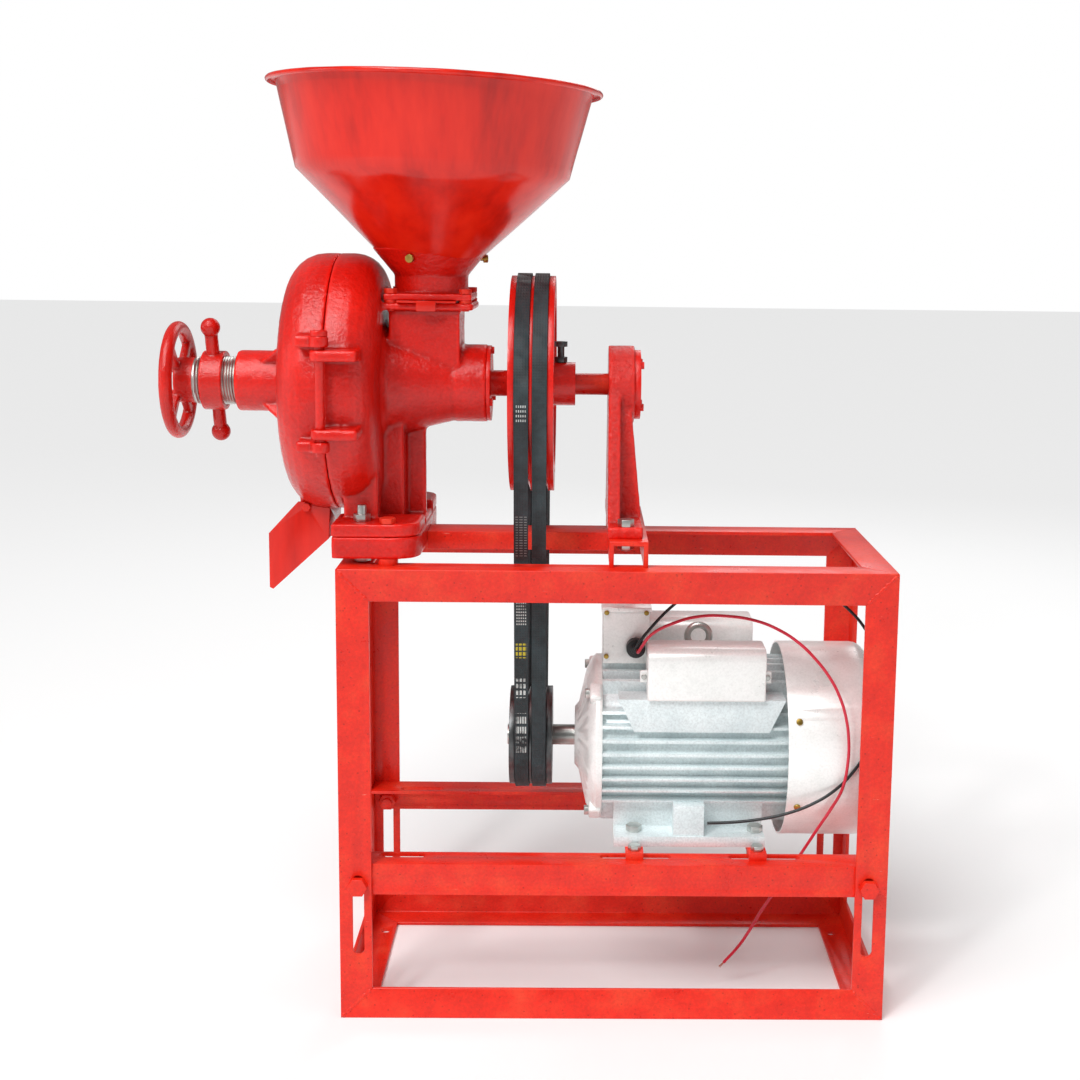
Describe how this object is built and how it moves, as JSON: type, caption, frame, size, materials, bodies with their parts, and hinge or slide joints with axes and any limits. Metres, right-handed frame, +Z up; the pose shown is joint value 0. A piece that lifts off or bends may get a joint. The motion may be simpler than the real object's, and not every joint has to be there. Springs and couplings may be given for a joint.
{
  "type": "grain mill",
  "caption": "Belt-driven plate grain mill: hopper, hinged grinding casing with screw-adjusted plates, chute, and capacitor motor in an angle-iron bench frame.",
  "frame": {"origin": "centre of the four floor-bolt holes, on the floor plane, under the middle of the frame", "axes": "+Z up, +X along the mill shaft towards the pedestal and the motor's fan, +Y away from the hinge side of the casing door"},
  "size_m": [0.8225, 0.38, 1.055],
  "materials": {
    "red_enamel": "glossy red enamel, brushed on",
    "red_cast": "glossy red enamel over rough sand-cast iron",
    "zinc": "bright zinc plate",
    "dark_steel": "machined steel, oiled",
    "white_iron": "ground white cast iron",
    "red_steel": "red enamel on bright steel",
    "silver_paint": "pale silver-grey motor enamel",
    "black_rubber": "fabric-jacketed black rubber",
    "black_plastic": "moulded black nylon",
    "red_pvc": "red PVC insulation",
    "black_pvc": "black PVC insulation",
    "silicon_steel": "varnished laminations"
  },
  "bodies": {
    "frame": {"leg_front_left": "red_enamel", "leg_front_right": "red_enamel", "leg_back_left": "red_enamel", "leg_back_right": "red_enamel", "top_rail_front": "red_enamel", "top_rail_back": "red_enamel", "top_rail_left": "red_enamel", "top_rail_right": "red_enamel", "bottom_rail_front": "red_enamel", "bottom_rail_back": "red_enamel", "bottom_rail_left": "red_enamel", "bottom_rail_right": "red_enamel", "motor_rail_front": "red_enamel", "motor_rail_back": "red_enamel", "rail_bolts": "red_enamel", "motor_cross_bars": "red_enamel", "motor_bolts": "red_enamel", "mill_bed_plate": "red_cast", "bed_beams": "red_enamel", "mill_foot_bolts": "zinc", "mill_frame_bolts": "red_enamel", "mill_body": "red_cast", "hinge_pin": "red_cast", "hopper": "red_enamel", "hopper_neck": "red_cast", "neck_bolts": "red_enamel", "hopper_screws": "zinc", "ball_bearings": "zinc", "bearing_caps": "red_cast", "bearing_pedestal": "red_cast", "pedestal_bolts": "zinc", "v_belts": "black_rubber", "motor_housing": "silver_paint", "motor_end_shields": "silver_paint", "stator_core": "silicon_steel", "fan_cover": "silver_paint", "terminal_box": "silver_paint", "cable_gland": "black_plastic", "capacitor_covers": "silver_paint", "eye_bolt": "zinc", "lead_red": "red_pvc", "lead_black": "black_pvc"},
    "door": {"mill_door": "red_cast", "door_bolts": "red_enamel", "discharge_chute": "red_enamel"},
    "plate_slide": {"plate_carrier": "dark_steel", "stationary_plate": "white_iron"},
    "adjuster": {"adjusting_screw": "dark_steel", "handwheel": "red_cast"},
    "lock": {"lock_nut": "red_cast"},
    "gate": {"feed_gate": "zinc"},
    "mill_rotor": {"main_shaft": "red_steel", "feed_auger": "dark_steel", "plate_holder": "dark_steel", "rotating_plate": "white_iron", "mill_pulley": "red_cast", "pulley_set_screw": "dark_steel"},
    "drive_rotor": {"motor_rotor": "silicon_steel", "cooling_fan": "black_plastic", "motor_pulley": "dark_steel"}
  },
  "joints": [
    {"name": "mill_spin", "type": "hinge", "parent": "frame", "child": "mill_rotor", "pos_m": [0, 0, 0.712], "axis": [1, 0, 0], "continuous": true},
    {"name": "motor_spin", "type": "hinge", "parent": "frame", "child": "drive_rotor", "pos_m": [0, 0, 0.2905], "axis": [1, 0, 0], "continuous": true},
    {"name": "door_swing", "type": "hinge", "parent": "frame", "child": "door", "pos_m": [-0.318, -0.16, 0.712], "axis": [0, 0, 1], "range_deg": [0, 110]},
    {"name": "screw_feed", "type": "slide", "parent": "door", "child": "plate_slide", "axis": [1, 0, 0], "range_m": [-0.0062, 0.0016]},
    {"name": "handwheel_turn", "type": "hinge", "parent": "plate_slide", "child": "adjuster", "pos_m": [0, 0, 0.712], "axis": [1, 0, 0], "range_deg": [-720, 180]},
    {"name": "lock_nut_turn", "type": "hinge", "parent": "adjuster", "child": "lock", "pos_m": [0, 0, 0.712], "axis": [1, 0, 0], "range_deg": [-180, 180]},
    {"name": "feed_gate_slide", "type": "slide", "parent": "frame", "child": "gate", "axis": [0, -1, 0], "range_m": [0, 0.07]}
  ],
  "couplings": [
    {"joint": "motor_spin", "follows": "mill_spin", "ratio": 2.1579},
    {"joint": "screw_feed", "follows": "handwheel_turn", "m_per_rad": 0.00047746}
  ]
}
